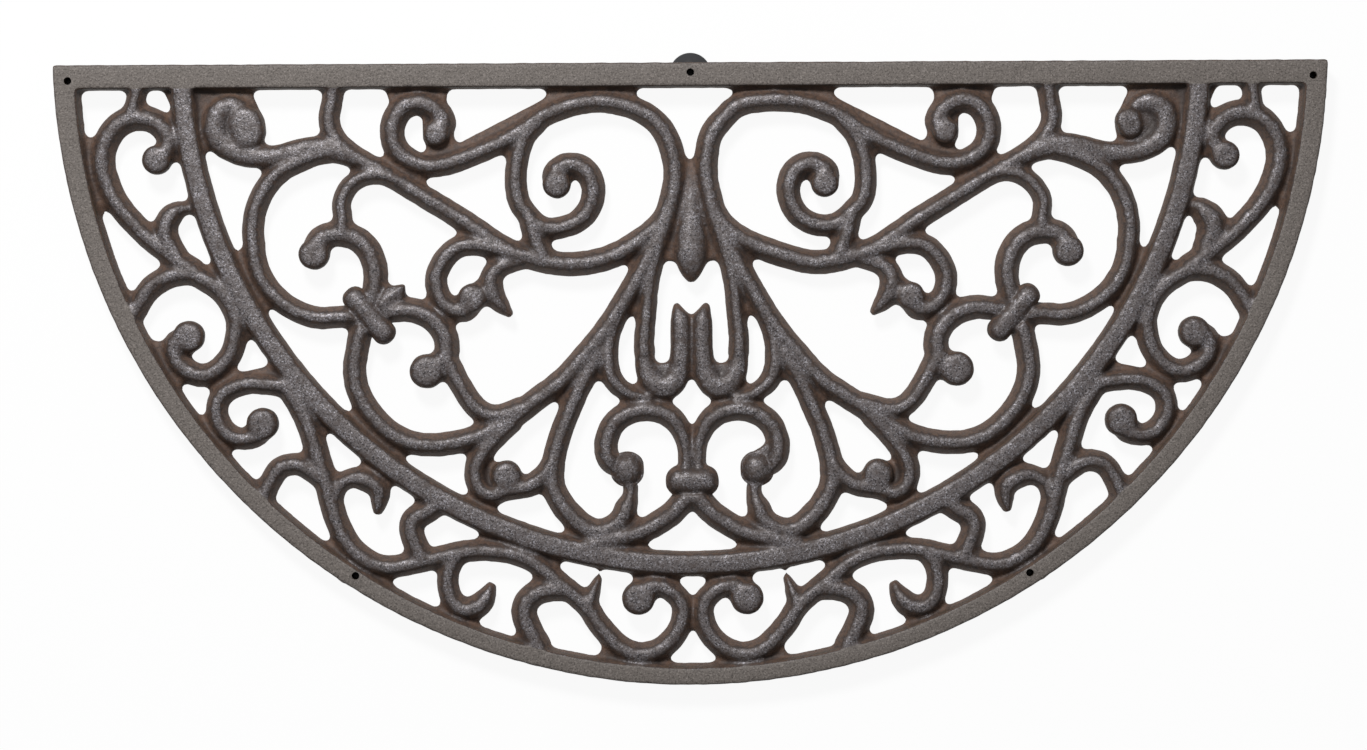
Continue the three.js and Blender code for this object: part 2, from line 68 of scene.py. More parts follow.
camera_data = bpy.data.cameras.new("camera")
camera_data.sensor_width = SENSOR_WIDTH
camera_data.lens = SENSOR_WIDTH * PIXELS_PER_METRE * CAMERA_HEIGHT / PICTURE_WIDTH
camera_data.clip_end = 20
camera = bpy.data.objects.new("camera", camera_data)
camera.location = (CAMERA_X, CAMERA_Y, CROWN + CAMERA_HEIGHT)
camera.rotation_euler = (0, 0, CAMERA_TURN)
bpy.context.scene.collection.objects.link(camera)
bpy.context.scene.camera = camera


# Casting
# The mat itself: one piece of grey iron, poured in an open sand mould with a flat back. Frame band,
# arch rib, scrolls, eyes, collars, leaf and bud are laid out one by one below, then melted into
# one skin with soft fillets, as the sand leaves them.

VOXEL = 0.8 * MM
pieces_of_iron = []

# The pattern was carved by hand, so the right half isn't a true mirror of the left. Round each of
# these places of the right half, the bars lie off by so much, in millimetres.
OFF_PLACES = [
    ((50, 114), (0.8, -2.6), 18), ((92, 94), (-1.2, -2), 12), ((15, 44), (-1.9, -1), 14),
    ((32, 27), (-1.2, -3), 12), ((112, 205), (0, -2.8), 18), ((205, 86), (1.6, 0), 10),
]


def spot(x, y, side=1, z=FLOOR_OF_IRON):
    """A place on the mat: x out from its axis and y in from the straight edge, in millimetres."""
    place = Vector((x, y))
    if side == 1:
        for middle, off, reach in OFF_PLACES:
            away = (Vector((x, y)) - Vector(middle)).length / reach
            place += math.exp(-away ** 2) * Vector(off)
    return Vector((side * place.x * MM, EDGE_Y - place.y * MM, z))


def apply_modifiers(piece):
    bpy.ops.object.select_all(action="DESELECT")
    bpy.context.view_layer.objects.active = piece
    piece.select_set(True)
    for modifier in list(piece.modifiers):
        bpy.ops.object.modifier_apply(modifier=modifier.name)
    piece.select_set(False)


# Frame band: a flat bar along the straight edge and a flat rim round the half circle, 12.5 mm wide
# at the ends and 10 mm at the front. Its inner wall leans in, more on the rim than on the bar.

HALF_WIDTH = 374.9
DEPTH = 366.2
RIM_SETBACK = (HALF_WIDTH ** 2 - DEPTH ** 2) / (2 * DEPTH)
RIM_RADIUS = DEPTH + RIM_SETBACK
OPENING_HALF_WIDTH = 362.5
OPENING_DEPTH = 356.3
OPENING_SETBACK = (OPENING_HALF_WIDTH ** 2 - OPENING_DEPTH ** 2) / (2 * OPENING_DEPTH)
OPENING_RADIUS = OPENING_DEPTH + OPENING_SETBACK
RIM_DRAFT = 3
BAR_DRAFT = 1
STRAIGHT_BAND = 14
OVERSHOOT = 3


def cut_away(piece, cutter):
    cut = piece.modifiers.new("cut", "BOOLEAN")
    cut.operation = "DIFFERENCE"
    cut.solver = "EXACT"
    cut.object = cutter
    apply_modifiers(piece)
    bpy.data.objects.remove(cutter)


def half_disc(radius_low, radius_high, setback, edge, lean, low, high):
    """A half disc: a round slug cut off square at the straight edge."""
    bpy.ops.mesh.primitive_cone_add(
        vertices=360, radius1=radius_low * MM, radius2=radius_high * MM, depth=high - low,
        location=(0, EDGE_Y + setback * MM, (low + high) / 2))
    disc = bpy.context.object
    bpy.ops.object.transform_apply(location=True, rotation=True, scale=True)
    bpy.ops.object.mode_set(mode="EDIT")
    bpy.ops.mesh.select_all(action="SELECT")
    bpy.ops.mesh.bisect(
        plane_co=(0, EDGE_Y - edge * MM, CROWN), plane_no=(0, 1, -lean),
        use_fill=True, clear_outer=True)
    bpy.ops.object.mode_set(mode="OBJECT")
    disc.select_set(False)
    return disc


band = half_disc(RIM_RADIUS, RIM_RADIUS, RIM_SETBACK, 0.1, 0, FLOOR_OF_IRON, CROWN)
draft = RIM_DRAFT * OVERSHOOT * MM / THICKNESS
opening = half_disc(
    OPENING_RADIUS - RIM_DRAFT - draft, OPENING_RADIUS + draft, OPENING_SETBACK, STRAIGHT_BAND,
    BAR_DRAFT * MM / THICKNESS, FLOOR_OF_IRON - OVERSHOOT * MM, CROWN + OVERSHOOT * MM)
cut_away(band, opening)
pieces_of_iron.append(band)


# Bars: every scroll is a bar with a flat back, walls that lean in and a round crown. The section
# is drawn for a bar 13.2 mm wide and laid along the middle line of each bar. Petals, bud and
# rosette have a fuller one, and the arch rib has a broad flat top.

BAR = 13.2
HEAVY = 14
SLIM = 11.5
HALF_SECTION = [(6.8, 0), (6.8, 1.5), (6.35, 2.9), (5.8, 4.4), (5.15, 6), (4.5, 7.5), (3.85, 8.9),
                (3.05, 10), (2.1, 10.7), (0.8, 11)]
FULL_SECTION = [(6.6, 0), (6.6, 3), (6.4, 5.4), (5.9, 7.4), (5.1, 8.9), (4, 10), (2.7, 10.6),
                (1.1, 11)]
RIB_SECTION = [(6.8, 0), (6.8, 1.5), (6.5, 3.4), (6.1, 5.6), (5.7, 7.6), (5.3, 9.2), (4.7, 10.3),
               (3.8, 10.8), (1.4, 11)]


def new_curve(name):
    curve = bpy.data.curves.new(name, "CURVE")
    curve.dimensions = "3D"
    obj = bpy.data.objects.new(name, curve)
    bpy.context.scene.collection.objects.link(obj)
    return obj


def draw_section(name, half_section):
    section = new_curve(name)
    half = [(across, height ** 2 / THICKNESS_MM) for across, height in half_section]
    outline = half + [(-across, height) for across, height in reversed(half)]
    spline = section.data.splines.new("POLY")
    spline.points.add(len(outline) - 1)
    for point, (across, height) in zip(spline.points, outline):
        point.co = (across * MM, height * MM, 0, 1)
    spline.use_cyclic_u = True
    return section


bar_section = draw_section("bar_section", HALF_SECTION)
full_section = draw_section("full_section", FULL_SECTION)
rib_section = draw_section("rib_section", RIB_SECTION)


def lay_bar(points, widths, side, section=bar_section):
    """Lays the bar's section along a smooth curve and turns it into a mesh."""
    widths = widths if isinstance(widths, list) else [widths, widths]
    obj = new_curve("bar")
    curve = obj.data
    curve.twist_mode = "Z_UP"
    curve.resolution_u = 6
    curve.bevel_mode = "OBJECT"
    curve.bevel_object = section
    curve.use_fill_caps = True
    path = curve.splines.new("BEZIER")
    path.bezier_points.add(len(points) - 1)
    stops = np.linspace(0, 1, len(widths))
    for i, (knot, (x, y)) in enumerate(zip(path.bezier_points, points)):
        knot.co = spot(x, y, side)
        knot.handle_left_type = knot.handle_right_type = "AUTO"
        knot.radius = np.interp(i / (len(points) - 1), stops, widths) / BAR
    bpy.ops.object.select_all(action="DESELECT")
    bpy.context.view_layer.objects.active = obj
    obj.select_set(True)
    bpy.ops.object.convert(target="MESH")
    bar = bpy.context.object
    level_crown(bar, max(widths) / BAR)
    bar.select_set(False)
    pieces_of_iron.append(bar)
    return bar


def level_crown(bar, widest):
    """Keeps the crown of a bar that tapers nearly level: a tip runs down only at its very end."""
    for vertex in bar.data.vertices:
        rise = max(0, vertex.co.z - FLOOR_OF_IRON)
        vertex.co.z = FLOOR_OF_IRON + math.sqrt(rise * THICKNESS / widest)


# Eyes: the round knobs that end the scrolls, with steep sides and a nearly flat top.

EYE_HEIGHT = 11.6
EYE_ROUNDING = 0.42
ROSETTE_DISC = 7.8


def eye(x, y, radius, side, top=EYE_HEIGHT):
    """A round knob. It is cut off at the back, so that only its upper edge is rounded."""
    height = top * MM
    below = 4 * MM
    bpy.ops.mesh.primitive_cylinder_add(
        vertices=32, radius=radius * MM, depth=height + below,
        location=spot(x, y, side, FLOOR_OF_IRON + (height - below) / 2))
    knob = bpy.context.object
    bpy.ops.object.transform_apply(location=True, rotation=True, scale=True)
    round_off = knob.modifiers.new("round", "BEVEL")
    round_off.width = EYE_ROUNDING * radius * MM
    round_off.segments = 5
    round_off.limit_method = "ANGLE"
    apply_modifiers(knob)
    for vertex in knob.data.vertices:
        vertex.co.z = max(vertex.co.z, FLOOR_OF_IRON)
    pieces_of_iron.append(knob)


def scroll(width, radius, points, sides=(-1, 1), section=bar_section):
    """A bar on each half of the mat, with its eye at the last point."""
    for side in sides:
        lay_bar(points, width, side, section)
        if radius:
            eye(*points[-1], radius, side)


# Arch rib: the heavy half ring that parts the border from the field.

ARCH_REACH = 299.6
ARCH_DEPTH = 295.2
ARCH_WIDTH = 15
arch_setback = (ARCH_REACH ** 2 - ARCH_DEPTH ** 2) / (2 * ARCH_DEPTH)
arch_radius = ARCH_DEPTH + arch_setback
arch_start = math.asin((STRAIGHT_BAND / 2 + arch_setback) / arch_radius)
arch = [(arch_radius * math.cos(a), arch_radius * math.sin(a) - arch_setback)
        for a in np.linspace(arch_start, math.pi - arch_start, 60)]
lay_bar(arch, ARCH_WIDTH, 1, rib_section)


# Scrolls of half the mat, as the middle line of each bar.

# from the band round the upper ring to the small volute under the band
scroll([12.5, 13.2, 14.6, 14.4, 13.6, 13.4, 15, 15], 7.6, [
    (209, 8), (211.5, 22), (213, 34), (210, 42.5), (203.8, 49.5), (194, 56.5), (182.3, 63),
    (157.6, 77.8), (132.8, 93.2), (108, 109.5), (95, 114.3), (82.5, 117.3), (70, 118.2),
    (57.5, 116.8), (45, 113), (32.5, 106), (22.5, 98.8), (15, 90), (11, 78), (9, 65), (10.6, 54),
    (13.8, 44), (20, 35), (30, 28), (42.5, 23.8), (55, 22.3), (67.5, 23.8), (78.8, 27.5),
    (88.8, 32), (97, 38), (107.5, 44), (120, 50), (132.5, 55), (145, 59), (157.5, 59.6),
    (167, 55.8), (173.2, 50), (175.8, 42.3), (175.2, 34.4), (170.8, 27), (163.8, 23), (155, 23.8),
    (148, 29.3), (145.8, 36), (149.8, 41),
])
# spiral inside the upper ring
scroll([13.2, 13.2, 13.2, 14.6, 14.6], 8.3, [
    (90, 34), (97, 42), (101.2, 52.5), (103, 63), (103, 72.4), (101.3, 81.4), (97, 88), (92, 93.8),
    (85, 97), (75, 96.2), (66.6, 92.8), (60.4, 86), (57.6, 77.5), (58.4, 69.2), (62.8, 62.4),
    (70, 59.6), (76.5, 61.3), (80.5, 66), (79, 71.3),
])
# link from the spiral to the ring
scroll(HEAVY, 0, [
    (95.5, 89.3), (91, 105), (87, 114),
])
# rosette at the foot of the arch rib: its end fades out round an eye on a raised disc. The eye is
# big and oval on the left, small on the right, where the disc lies lower.
scroll([12, 15, 15, 14, 13.2, 13.2, 13.5, 14, 15, 15, 15, 14.5, 13, 10, 6], 0, [
    (196, 56), (205.5, 51.6), (217.5, 49.4), (230, 50.6), (242.5, 53.5), (255, 54.3),
    (262, 53.5), (269.5, 50.8), (275.8, 46.6), (279.6, 40), (279.8, 32.6), (276.2, 26.6),
    (270, 24.2), (263.5, 25.6), (258.5, 29.5),
], section=full_section)
for x, y, radius, side, top in (
        (262, 34.7, 10.4, -1, EYE_HEIGHT), (260.6, 39.6, 10.4, -1, EYE_HEIGHT),
        (257.4, 35.4, 7.6, 1, EYE_HEIGHT), (258.6, 38.6, 7.2, 1, EYE_HEIGHT),
        (266, 37.5, 16, -1, ROSETTE_DISC), (266, 37.5, 16, 1, ROSETTE_DISC - 0.6)):
    eye(x, y, radius, side, top)
# large C at the side of the field
scroll(BAR, 0, [
    (199, 54.2), (206, 51.8), (213, 51.6), (221, 53.2), (231, 57), (241, 62.3), (249.5, 71),
    (255.5, 82), (258, 93), (257.8, 106.3), (255.8, 119), (250.6, 129.6), (244, 137.4),
    (237.2, 142.6), (229.4, 146.6), (220, 149.2), (210, 148.8), (196, 148),
])
# link that drops from the volute
scroll(SLIM, 0, [
    (172, 69), (180, 65.8), (188.5, 65.2), (197.5, 68.5), (203.6, 75), (206, 82), (205.4, 90),
    (205, 101),
])
# curl inside the large C
scroll([13.2, 15, 15, 15.2, 16], 9.2, [
    (192, 146), (187.5, 134.5), (186, 124), (187.4, 115.8), (190.8, 108.7), (196.8, 103),
    (204.5, 100.3), (212, 100.3), (218.8, 103.3), (222, 111.8),
])
# curl below the side collar
scroll([13.2, 15, 15, 15], 10.2, [
    (188, 147), (176, 145.4), (168, 144.6), (160, 146.4), (152.3, 150.6), (146.6, 157.3),
    (144.2, 165), (146, 173.5), (156, 181),
])
# long diagonal from the side collar to the bud
scroll(HEAVY, 0, [
    (190, 150), (194.8, 158), (197.2, 168), (198.8, 182), (196, 194), (190, 204.5), (182, 213.6),
    (173, 220), (163, 223.6), (152.5, 224.4), (141.6, 223.4), (130.3, 220.8), (120, 216.8),
    (110, 211.4), (89.6, 196.4), (76.3, 186.5), (63.8, 173), (54, 161.5), (46.3, 151), (40, 141),
    (28.5, 121), (23.3, 110.5), (17.5, 100), (13, 88), (10.6, 76),
])
# hook that leaves the curl for the long diagonal
scroll(BAR, 0, [
    (146, 170), (140.6, 181), (135.4, 191), (129.4, 200), (124, 205), (116, 207.3), (107.6, 205.6),
    (99.6, 202.2),
])
# upper hook over the pointed leaf
scroll(BAR, 8.5, [
    (98, 114), (110, 110), (117.5, 108.2), (130, 106.6), (138, 108.2), (144, 113), (148, 119),
    (150.3, 125.3), (150, 132), (147.5, 138.5), (143.5, 143), (138.5, 145.5), (132.5, 145),
    (129, 138),
])
# small cap on that hook's eye
scroll([10, 8, 3], 0, [
    (128.5, 138), (127, 132.5), (125.5, 128),
])
# pointed leaf
scroll([10, 12, 13, 14, 15, 13, 10, 4], 0, [
    (98, 116), (108, 118), (114, 120.5), (117.5, 125.5), (118, 132), (115.5, 138), (111.5, 143),
    (106, 148.5),
])
# lower loop of the heart
scroll([
    13.2, 13.2, 13.2, 13.2, 13.2, 13.4, 13.8, 14.2, 14.6, 15, 15, 14.6, 14.2, 14.2, 14, 9, 9,
], 0, [
    (54, 168), (60, 180), (65.5, 190), (70.5, 201), (75.5, 213), (79.5, 225), (82, 238),
    (81.8, 249.5), (77.6, 258.6), (71.6, 266.2), (64, 273), (56.7, 275.6), (48, 273.6), (42, 269),
    (39, 262), (36.4, 254), (37, 246),
])
# top of the heart
scroll([9.6, 9.8, 10.4, 12.4, 14, 14, 14, 14, 14, 14, 14, 14, 12], 0, [
    (3.8, 244), (3.6, 234), (3.8, 226), (6.8, 216.2), (11.8, 209.4), (20, 205), (30, 204.3),
    (39, 207), (45.6, 211.8), (49.4, 218.8), (50.8, 226.5), (49, 233.6), (41, 240),
])
# leg from the centre collar to the arch rib
scroll(14.6, 0, [
    (0, 248), (2, 255), (6, 259), (11, 264.5), (19, 270.3), (29, 275.6), (40, 279), (51, 281),
    (64, 285),
])
# double curl between the long diagonal and the heart
scroll(BAR, 8.9, [
    (105, 210), (114.5, 219), (120.3, 225), (124.7, 231.5), (127.6, 238), (127.3, 246),
    (123.3, 252), (116.5, 253.6), (111.6, 250.6), (109.3, 242.6),
])
# its link to the heart
scroll(BAR, 0, [
    (113, 251.6), (103, 250.2), (97, 249.2), (91, 245.8), (86, 241), (82, 235),
])
# tulip stem
scroll([13.2, 12.6, 11.6, 11.4, 12, 12.6], 0, [
    (14, 90), (19.5, 108), (23.3, 122), (25.2, 134), (26, 144), (27, 153), (27.9, 162.5),
    (27.8, 172),
])
# broad lobe that turns the stem up into the petal
scroll([8, 11.5, 13.6, 15, 15.4, 15, 13.4, 10], 0, [
    (27.9, 164), (27.7, 173), (26, 182), (21.4, 189), (14.6, 190.8), (9.3, 185.6), (7, 177),
    (6.3, 166),
], section=full_section)
# tulip petal
scroll([3, 7.5, 12, 12.4, 12.4, 13], 0, [
    (9.3, 141.5), (8, 146), (6.6, 150.5), (6.3, 158), (6.3, 168), (7, 178),
], section=full_section)
# tulip sepal
scroll([12, 11.4, 10.6, 11.4, 12.4, 12.4, 11, 9.5, 8], 0, [
    (38, 138), (43.5, 149.5), (47.2, 160), (48.9, 170), (48.8, 179), (45.8, 187.4), (39, 193.4),
    (31.5, 196.6), (24, 197.6),
])
# border curl at the corner
scroll([15, 13.6, 14, 15.2, 15.2, 15.4, 15, 14], 8.6, [
    (292.4, 122), (301.8, 115.6), (309.4, 109.8), (317.2, 104), (325.6, 95.8), (333.6, 87.2),
    (340.3, 77.2), (344.6, 67.2), (346.6, 59), (346.3, 51), (344, 44), (339.6, 37.2), (334, 33),
    (326, 30.8), (317.5, 32.3), (310.4, 37.6), (307.2, 44), (308.9, 50.6), (314.4, 56),
])
# its stem to the band, which leans more on the left
scroll(SLIM, 0, [(330, 30), (326.5, 18), (325, 7)], sides=(-1,))
scroll(SLIM, 0, [(332.5, 30), (331, 18), (329.5, 7)], sides=(1,))
# hook from the arch rib to the corner curl, heavier on the right
scroll([5, 9.5, 13.5, 14.6, 14.6, 14, 13], 0, [
    (290, 85), (299.5, 84.6), (305.2, 87.4), (308.8, 92.2), (309.8, 98.5), (307.4, 105),
    (302.6, 112.6),
], sides=(-1,))
scroll([5, 12, 17, 18.5, 18.5, 17, 14], 0, [
    (290, 85), (298.8, 86), (303, 89.6), (306.4, 94), (307.4, 99), (305.5, 105.5), (301.6, 112.6),
], sides=(1,))
# second border curl
scroll([13.2, 14.4, 14.6, 13.6, 13.4, 14.4, 14], 9.4, [
    (329, 147), (325, 140), (320, 132.5), (314, 127.6), (307, 124.2), (300, 122.8), (292.3, 123.4),
    (285.5, 127), (279.5, 131), (274, 137), (270, 144.5), (268, 152.5), (268.8, 161), (271, 169),
    (275, 175), (280, 180), (287.3, 182.8), (294.6, 181.4), (300.2, 177.4), (304.4, 171.2),
    (304.4, 164), (296, 160),
])
# third border curl
scroll(BAR, 9.6, [
    (234, 190), (242.5, 189), (252.5, 187.8), (262.5, 187.8), (271, 190.5), (277.5, 195.3),
    (280, 202.5), (279, 209.5), (275, 215.6), (269.3, 219.6), (262, 220.2), (255.4, 217.6),
    (252.8, 211.6),
])
# running stem down the border to the front scroll
scroll([14.5, 14.5, 14, 13.2, 13.2, 13.2, 14, 13.2, 13.2], 9.8, [
    (240, 187), (232, 200), (227, 210), (223.3, 221), (219, 236), (216, 245), (211.6, 263),
    (208.4, 272), (204.3, 280.3), (198.5, 287.3), (190.5, 293), (180, 296.2), (170, 295.2),
    (160, 293.2), (149, 290.6), (138, 288), (126.7, 286.8), (115.4, 287.3), (103.6, 289.5),
    (93.4, 294), (85, 300.6), (76.7, 307.6), (67.8, 315), (61, 321.7), (56.5, 329), (50.4, 336.6),
    (43.1, 343.8), (34.4, 347.8), (24.4, 347.4), (15, 342.2), (8.8, 334.5), (6, 326), (6.8, 318),
    (11.8, 312), (20, 308), (28.5, 309.4), (32, 315.4),
])
# hook from the running stem to the rim
scroll(BAR, 0, [
    (218.4, 244), (224.4, 239.6), (230, 236.2), (236.9, 235.6), (243.4, 238), (247.4, 243.4),
    (253, 255),
])
# drop that hangs from the arch rib
scroll([11, 11, 12, 14.5, 14.5, 13.5, 10.5, 5], 0, [
    (212, 259), (207.3, 247.5), (201, 244), (194.4, 244), (188.6, 246.6), (184.6, 251),
    (184.6, 258), (186, 265.5),
])
# hook from the arch rib to the running stem
scroll(14.4, 0, [
    (150, 259), (157.6, 264.4), (163.4, 267.4), (165.8, 271.4), (165.4, 277), (162.4, 285),
    (158, 294),
])
# curled hook under the running stem
scroll([14, 13.4, 13, 13, 13.4, 14, 15, 13, 5], 0, [
    (137, 287), (142.5, 295), (144.3, 302), (143.6, 311), (140.4, 317.8), (134, 321.4),
    (127.3, 319.8), (122.4, 315), (118, 306),
])
# plain hook from the running stem to the rim
scroll(15, 0, [
    (76, 309.5), (88, 310.6), (94, 313.2), (98.2, 317.6), (99.6, 323.6), (97.8, 330), (90, 345),
])
# spur on the front scroll
scroll([12, 9.5, 4], 0, [
    (63, 324), (59, 312), (55, 302.5),
])


# Low webs: thin iron between bars that run close together, well below their crowns.

WEB_HEIGHT = 4.5


def web(points, height=WEB_HEIGHT, sides=(-1, 1)):
    for side in sides:
        mesh = bpy.data.meshes.new("web")
        ring = [spot(x, y, side) for x, y in points]
        mesh.from_pydata(ring, [], [list(range(len(ring)))])
        plate = bpy.data.objects.new("web", mesh)
        bpy.context.scene.collection.objects.link(plate)
        if mesh.polygons[0].normal.z > 0:
            mesh.flip_normals()
        thicken = plate.modifiers.new("thickness", "SOLIDIFY")
        thicken.thickness = height * MM
        thicken.offset = -1
        apply_modifiers(plate)
        pieces_of_iron.append(plate)


web([(36, 8), (32, 16), (36, 28), (74, 28), (88, 22), (80, 15), (78, 8)])
web([(145, 8), (143, 17), (146, 30), (174, 30), (179, 18), (176, 8)])
web([(158, 28), (158, 44), (155, 50), (160, 56), (142, 56), (138, 48), (143, 30)])
web([(80, 17.5), (74, 26), (97, 40), (120, 52), (140, 58), (139, 48)])
web([(264, 8), (256, 22), (251, 34), (252, 44), (258, 52), (276, 52), (290, 48), (298, 8)])
web([(304, 30), (303, 56), (292, 60), (290, 8), (308, 8), (310, 16)])
web([(362, 40), (349, 44), (343, 66), (341, 80), (353, 84)])
web([(318, 162), (303, 164), (299, 184), (306, 196), (316, 186)])
web([(243, 190), (246, 177), (266, 181), (284, 184), (276, 196), (264, 192)])
web([(215, 284), (209, 276), (202, 285), (188, 306), (206, 306), (220, 294)])
web([(0, 72), (14, 82), (20, 104), (16, 114), (12, 117), (8, 112), (0, 116)])
web([(24, 176.4), (17.5, 177), (11, 176.4), (8, 184), (14, 193), (24, 190), (27, 182)], 7.6)
web([(212, 50), (212, 58), (236, 62), (246, 68), (250, 58), (232, 54)])
web([(329, 136), (318, 132), (322, 146), (334, 150)])
web([(280, 208), (276, 222), (284, 226), (290, 214)])
web([(112, 278), (98, 292), (86, 300), (77, 294), (92, 285)])
web([(144, 308), (128, 318), (128, 330), (148, 326)])
web([(52, 338), (40, 342), (16, 345), (15, 356), (56, 352)])
web([(36, 296), (34, 312), (14, 308), (11, 298)])
web([(202, 240), (191, 238), (184, 244), (188, 250), (200, 246)])
web([(27, 118), (24, 128), (30, 144), (36, 146), (42, 150), (40, 138)])
web([(46, 222), (41.6, 226), (36.4, 229), (34, 238), (48, 238)], 7.6, sides=(1,))


# Collars: the knots that seem to tie the bars together, with a flat worn face on top.

COLLAR_RISE = 1.6
KNOT_ROUNDING = 0.92
GROOVE_FLOOR = 6.4
knots = []
grooves = []


def knot_block(start, end, radius, low, high):
    """A round-ended block from one point to another."""
    middle = (start + end) / 2
    bpy.ops.mesh.primitive_cube_add(size=1, location=(middle.x, middle.y, (low + high) / 2))
    knot = bpy.context.object
    knot.scale = ((end - start).length + 2 * radius * MM, 2 * radius * MM, high - low)
    knot.rotation_euler.z = math.atan2(end.y - start.y, end.x - start.x)
    bpy.ops.object.transform_apply(location=True, rotation=True, scale=True)
    bpy.ops.object.mode_set(mode="EDIT")
    bpy.ops.mesh.select_all(action="DESELECT")
    bpy.ops.object.mode_set(mode="OBJECT")
    for edge in knot.data.edges:
        ends = [knot.data.vertices[i].co for i in edge.vertices]
        edge.select = abs(ends[0].z - ends[1].z) > (high - low) / 2
    bpy.ops.object.mode_set(mode="EDIT")
    bpy.ops.mesh.bevel(offset=KNOT_ROUNDING * radius * MM, segments=8)
    bpy.ops.object.mode_set(mode="OBJECT")
    knot.select_set(False)
    return knot


def collar(start, end, radius, height, rounding, groove=0):
    """A knot above the bars, with soft edges, and the groove that parts it from them."""
    height = height * MM
    knot = knot_block(start, end, radius, FLOOR_OF_IRON, FLOOR_OF_IRON + height)
    corners = knot.modifiers.new("round", "BEVEL")
    corners.width = rounding * MM
    corners.segments = 4
    corners.limit_method = "ANGLE"
    corners.angle_limit = math.radians(50)
    apply_modifiers(knot)
    for vertex in knot.data.vertices:
        vertex.co.z = max(vertex.co.z, FLOOR_OF_IRON)
    knots.append(knot)
    if groove:
        floor = FLOOR_OF_IRON + GROOVE_FLOOR * MM
        grooves.append(knot_block(start, end, radius + groove, floor, floor + 2 * height))


for side in (-1, 1):
    collar(spot(197.9, 138.2, side), spot(181.3, 157.8, side), radius=7.3,
           height=THICKNESS_MM + COLLAR_RISE, rounding=0.9, groove=1.4)

# collar of the heart, on a low block
collar(spot(-6.5, 246.3), spot(6.5, 246.3), radius=9.2, height=7.4, rounding=1.5, groove=0.6)
collar(spot(-7.6, 246), spot(7.6, 246), radius=8, height=THICKNESS_MM + COLLAR_RISE, rounding=1)

# eyes of the heart, parted from their bars by a groove
for side in (-1, 1):
    collar(spot(38.2, 238.8, side), spot(38.2, 239.6, side), radius=9.9, height=11.8,
           rounding=2.6, groove=1)

# small leaf at the left collar, with a ridge down its middle
LEAF_EDGE = [(186.5, 145.5), (179.5, 131), (168.4, 129.6), (168.6, 136.4), (174.2, 144.5)]
LEAF_RIDGE = [(184.5, 142.6, 11.6), (178, 137.8, 11.4), (169.6, 131.2, 10)]
LEAF_EDGE_HEIGHT = 8.4
corners = [spot(x, y, -1) for x, y in LEAF_EDGE]
corners += [spot(x, y, -1, FLOOR_OF_IRON + LEAF_EDGE_HEIGHT * MM) for x, y in LEAF_EDGE]
corners += [spot(x, y, -1, FLOOR_OF_IRON + z * MM) for x, y, z in LEAF_RIDGE]
leaf_mesh = bpy.data.meshes.new("leaf")
leaf_mesh.from_pydata(corners, [], [])
leaf = bpy.data.objects.new("leaf", leaf_mesh)
bpy.context.scene.collection.objects.link(leaf)
bpy.ops.object.select_all(action="DESELECT")
bpy.context.view_layer.objects.active = leaf
leaf.select_set(True)
bpy.ops.object.mode_set(mode="EDIT")
bpy.ops.mesh.select_all(action="SELECT")
bpy.ops.mesh.convex_hull()
bpy.ops.object.mode_set(mode="OBJECT")
leaf.select_set(False)
pieces_of_iron.append(leaf)

# bud: a full drop between the two stems
lay_bar([(0, 58), (0, 67), (0, 76), (0, 87), (0, 97), (0, 104), (0, 110.5), (0, 116), (0, 121),
         (0, 125.5), (0, 129.3)],
        [3.5, 7, 10, 13.6, 17, 19.2, 20.4, 19.2, 15.6, 10.4, 3.5], 1, full_section)


# Pouring: the pieces become one skin. Tight corners of the openings fill with a round web of low
# iron, and soft fillets join the crowns.

LOW_FILLET = 1.4
LOW_HEIGHT = 5
HIGH_FILLET = 0.7


def fuse(piece, voxel):
    remesh = piece.modifiers.new("fuse", "REMESH")
    remesh.mode = "VOXEL"
    remesh.voxel_size = voxel
    apply_modifiers(piece)


def swell(piece, distance):
    grow = piece.modifiers.new("swell", "DISPLACE")
    grow.mid_level = 0
    grow.strength = distance
    apply_modifiers(piece)


def join(pieces):
    bpy.ops.object.select_all(action="DESELECT")
    for piece in pieces:
        piece.select_set(True)
    bpy.context.view_layer.objects.active = pieces[0]
    bpy.ops.object.join()
    return pieces[0]


mat = join(pieces_of_iron)
mat.name = mat.data.name = "cast_iron_mat"
fuse(mat, VOXEL)

low_layer = mat.copy()
low_layer.data = mat.data.copy()
bpy.context.scene.collection.objects.link(low_layer)
for vertex in low_layer.data.vertices:
    vertex.co.z = min(vertex.co.z, FLOOR_OF_IRON + LOW_HEIGHT * MM)
swell(low_layer, LOW_FILLET * MM)
fuse(low_layer, 1.5 * VOXEL)
swell(low_layer, -LOW_FILLET * MM)
mat = join([mat, low_layer])
fuse(mat, VOXEL)
swell(mat, HIGH_FILLET * MM)
fuse(mat, VOXEL)
swell(mat, -HIGH_FILLET * MM)
cut_away(mat, join(grooves))
mat = join([mat, *knots])
fuse(mat, VOXEL)

soften = mat.modifiers.new("soften", "SMOOTH")
soften.factor = 0.5
soften.iterations = 2
apply_modifiers(mat)

rough = bpy.data.textures.new("casting_unevenness", "CLOUDS")
rough.noise_scale = 7 * MM
rough.noise_depth = 1
uneven = mat.modifiers.new("uneven", "DISPLACE")
uneven.texture = rough
uneven.texture_coords = "LOCAL"
uneven.strength = 0.5 * MM
apply_modifiers(mat)

TRIANGLES = 195000
thin = mat.modifiers.new("thin", "DECIMATE")
thin.ratio = TRIANGLES / (2 * len(mat.data.polygons))
apply_modifiers(mat)

